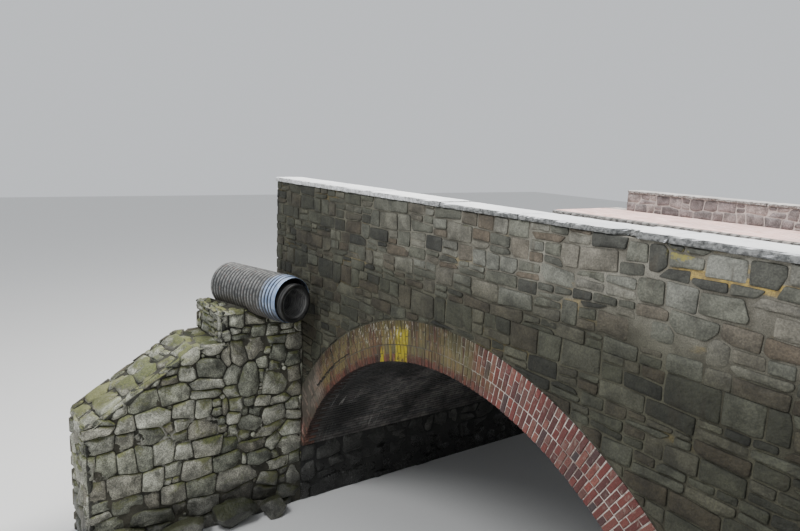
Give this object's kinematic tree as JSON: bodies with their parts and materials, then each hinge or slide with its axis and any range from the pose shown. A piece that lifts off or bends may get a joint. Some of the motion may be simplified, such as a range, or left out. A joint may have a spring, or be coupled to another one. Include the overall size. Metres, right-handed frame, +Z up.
{
  "type": "brick-arched road bridge with rubble walls",
  "caption": "Short road bridge over a stream: brick segmental arch, rubble spandrels and parapets with flagstone coping, boulder wing walls and a drain pipe.",
  "frame": {"origin": "middle of the bridge in plan, at the level of the water where its walls end", "axes": "+X along the near elevation to the right, +Y through the bridge away from the near face, +Z up"},
  "size_m": [9, 15.14, 5.175],
  "materials": {
    "boulder_masonry": "rough mossy field boulders",
    "squared_rubble": "rough squared rubble with light mortar",
    "purple_rubble": "purple-brown squared rubble with pale mortar",
    "arch_brick": "weathered red brick with grey lime mortar",
    "coping_flag": "pale flagstone with a rock-faced edge",
    "rubble_core": "rough rubble backing in lime mortar",
    "asphalt": "worn pale asphalt",
    "kerb_granite": "split granite",
    "footway_brick": "pink paving brick",
    "corrugated_steel": "dull galvanised, blue-grey, with dirt",
    "black_pipe": "matt black, ribbed"
  },
  "bodies": {
    "root": {"left_abutment": "boulder_masonry", "right_abutment": "boulder_masonry", "near_arch_ring": "arch_brick", "barrel_vault": "arch_brick", "far_arch_ring": "arch_brick", "near_spandrel_wall": "squared_rubble", "far_spandrel_wall": "squared_rubble", "left_haunch_backing": "rubble_core", "right_haunch_backing": "rubble_core", "near_parapet": "squared_rubble", "far_parapet": "purple_rubble", "road_slab": "asphalt", "kerb_stones": "kerb_granite", "footway_base": "rubble_core", "brick_footway": "footway_brick", "pipe_bed": "boulder_masonry", "drain_pipe_sleeve": "corrugated_steel", "drain_pipe_liner": "black_pipe", "near_coping_flag_1": "coping_flag", "near_coping_flag_2": "coping_flag", "near_coping_flag_3": "coping_flag", "near_coping_flag_4": "coping_flag", "near_coping_flag_5": "coping_flag", "near_coping_flag_6": "coping_flag", "near_coping_flag_7": "coping_flag", "far_coping_flag_1": "coping_flag", "far_coping_flag_2": "coping_flag", "far_coping_flag_3": "coping_flag", "far_coping_flag_4": "coping_flag", "far_coping_flag_5": "coping_flag", "near_left_wing_wall": "boulder_masonry", "near_left_toe_stones": "boulder_masonry", "near_right_wing_wall": "boulder_masonry", "near_right_toe_stones": "boulder_masonry", "far_left_wing_wall": "boulder_masonry", "far_left_toe_stones": "boulder_masonry", "far_right_wing_wall": "boulder_masonry", "far_right_toe_stones": "boulder_masonry"}
  },
  "joints": []
}
